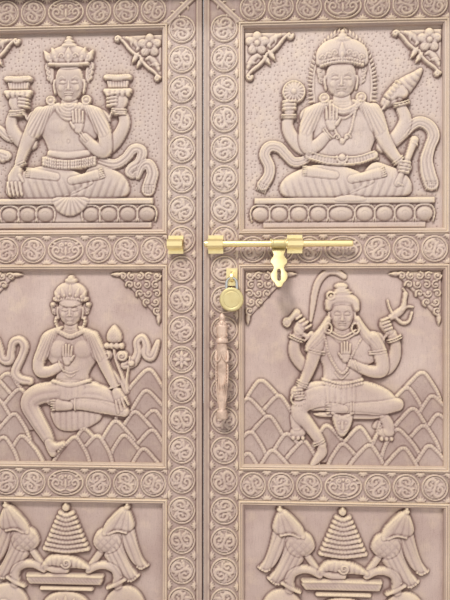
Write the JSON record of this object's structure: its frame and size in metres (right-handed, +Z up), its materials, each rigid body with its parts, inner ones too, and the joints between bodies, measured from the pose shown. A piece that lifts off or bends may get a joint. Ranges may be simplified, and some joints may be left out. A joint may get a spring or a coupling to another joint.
{
  "type": "carved temple door",
  "caption": "Pair of carved wooden door leaves hung on pivots in a rebated wooden frame, with a sliding bar bolt, hasp, staple, padlock and cast pull.",
  "frame": {"origin": "underside of the threshold, midway along it, below the front faces of the closed leaves", "axes": "+X to the viewer's right along the door, +Y into the doorway, +Z up; the carved faces look along -Y"},
  "size_m": [1.554, 0.1174, 2.056],
  "materials": {
    "door_wood": "weathered, waxed relief carving",
    "frame_wood": "dark oiled",
    "brass": "polished",
    "aged_brass": "rubbed, darkened in the hollows",
    "iron": "forged, dark",
    "steel": "bright"
  },
  "bodies": {
    "door_frame": {"threshold": "frame_wood", "head": "frame_wood", "left_jamb": "frame_wood", "right_jamb": "frame_wood", "pivot_sockets": "iron"},
    "left_leaf": {"left_meeting_stile": "door_wood", "left_hinge_stile": "door_wood", "left_bottom_rail": "door_wood", "left_lower_rail": "door_wood", "left_lock_rail": "door_wood", "left_top_rail": "door_wood", "left_lower_moulding": "door_wood", "left_middle_moulding": "door_wood", "left_upper_moulding": "door_wood", "left_lower_panel": "door_wood", "left_middle_panel": "door_wood", "left_upper_panel": "door_wood", "left_pivots": "iron", "bolt_keeper": "brass", "keeper_screws": "brass"},
    "right_leaf": {"right_meeting_stile": "door_wood", "right_hinge_stile": "door_wood", "right_bottom_rail": "door_wood", "right_lower_rail": "door_wood", "right_lock_rail": "door_wood", "right_top_rail": "door_wood", "right_lower_moulding": "door_wood", "right_middle_moulding": "door_wood", "right_upper_moulding": "door_wood", "right_lower_panel": "door_wood", "right_middle_panel": "door_wood", "right_upper_panel": "door_wood", "right_pivots": "iron", "bolt_guides": "brass", "guide_screws": "brass", "staple": "brass", "padlock_shackle": "steel", "pull_handle": "aged_brass"},
    "bolt": {"bolt_rod": "brass"},
    "hasp": {"hasp": "brass"},
    "padlock": {"padlock_body": "brass"}
  },
  "joints": [
    {"name": "left_leaf_swing", "type": "hinge", "parent": "door_frame", "child": "left_leaf", "pos_m": [-0.6915, 0.0225, 0], "axis": [0, 0, 1], "range_deg": [0, 90]},
    {"name": "right_leaf_swing", "type": "hinge", "parent": "door_frame", "child": "right_leaf", "pos_m": [0.6915, 0.0225, 0], "axis": [0, 0, -1], "range_deg": [0, 90]},
    {"name": "bolt_slide", "type": "slide", "parent": "right_leaf", "child": "bolt", "axis": [-1, 0, 0], "range_m": [0, 0.117]},
    {"name": "hasp_swing", "type": "hinge", "parent": "bolt", "child": "hasp", "pos_m": [0.1907, -0.022, 1.331], "axis": [-1, 0, 0], "range_deg": [-25, 125]},
    {"name": "padlock_release", "type": "slide", "parent": "right_leaf", "child": "padlock", "axis": [0, 0, -1], "range_m": [0, 0.009]}
  ]
}
